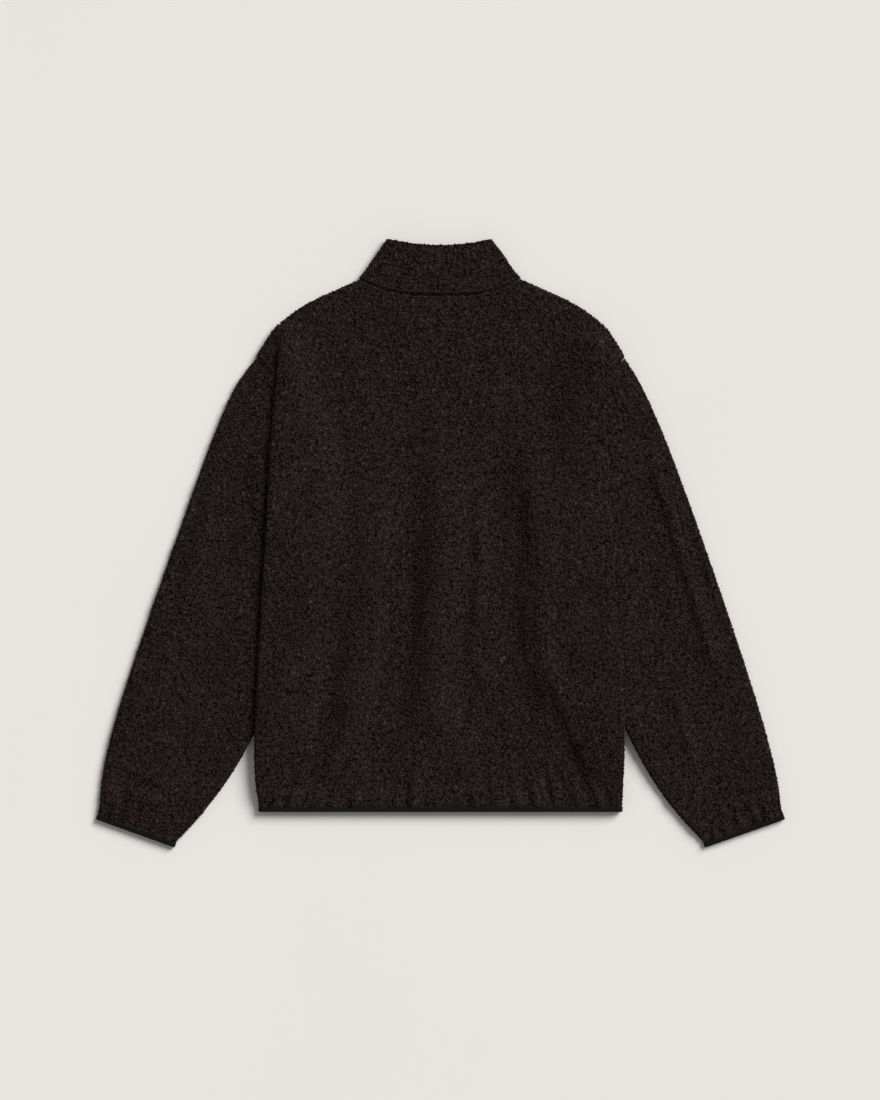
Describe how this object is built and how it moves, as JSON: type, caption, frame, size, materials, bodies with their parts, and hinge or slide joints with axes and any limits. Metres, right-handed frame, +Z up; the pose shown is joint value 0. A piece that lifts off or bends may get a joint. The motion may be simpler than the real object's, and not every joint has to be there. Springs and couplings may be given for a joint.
{
  "type": "half-zip fleece pullover",
  "caption": "Half-zip fleece pullover laid flat face down, sleeves angled outward, with a short standing collar, elastic bindings and a hinged zip pull tab.",
  "frame": {"origin": "on the surface the garment lies on, under the middle of its outline", "axes": "+X across the garment to the wearer's right sleeve, +Y from the hem to the collar, +Z up, away from the surface"},
  "size_m": [0.8988, 0.7924, 0.025],
  "materials": {
    "fleece": "deep curly pile, very dark brown",
    "binding": "smooth black elastic binding",
    "zip_tape": "black woven tape",
    "zip_chain": "black coil",
    "zip_metal": "dark satin metal"
  },
  "bodies": {
    "garment": {"back_panel": "fleece", "front_panel": "fleece", "sleeve_left": "fleece", "sleeve_right": "fleece", "collar": "fleece", "hem_binding": "binding", "cuff_binding_left": "binding", "cuff_binding_right": "binding", "zip_tape_left": "zip_tape", "zip_tape_right": "zip_tape", "zip_chain": "zip_chain", "zip_slider": "zip_metal"},
    "pull_tab": {"zip_pull_tab": "zip_metal"}
  },
  "joints": [
    {"name": "pull_tab_hinge", "type": "hinge", "parent": "garment", "child": "pull_tab", "pos_m": [0, 0.32, 0.0009], "axis": [1, 0, 0], "range_deg": [0, 150]}
  ]
}
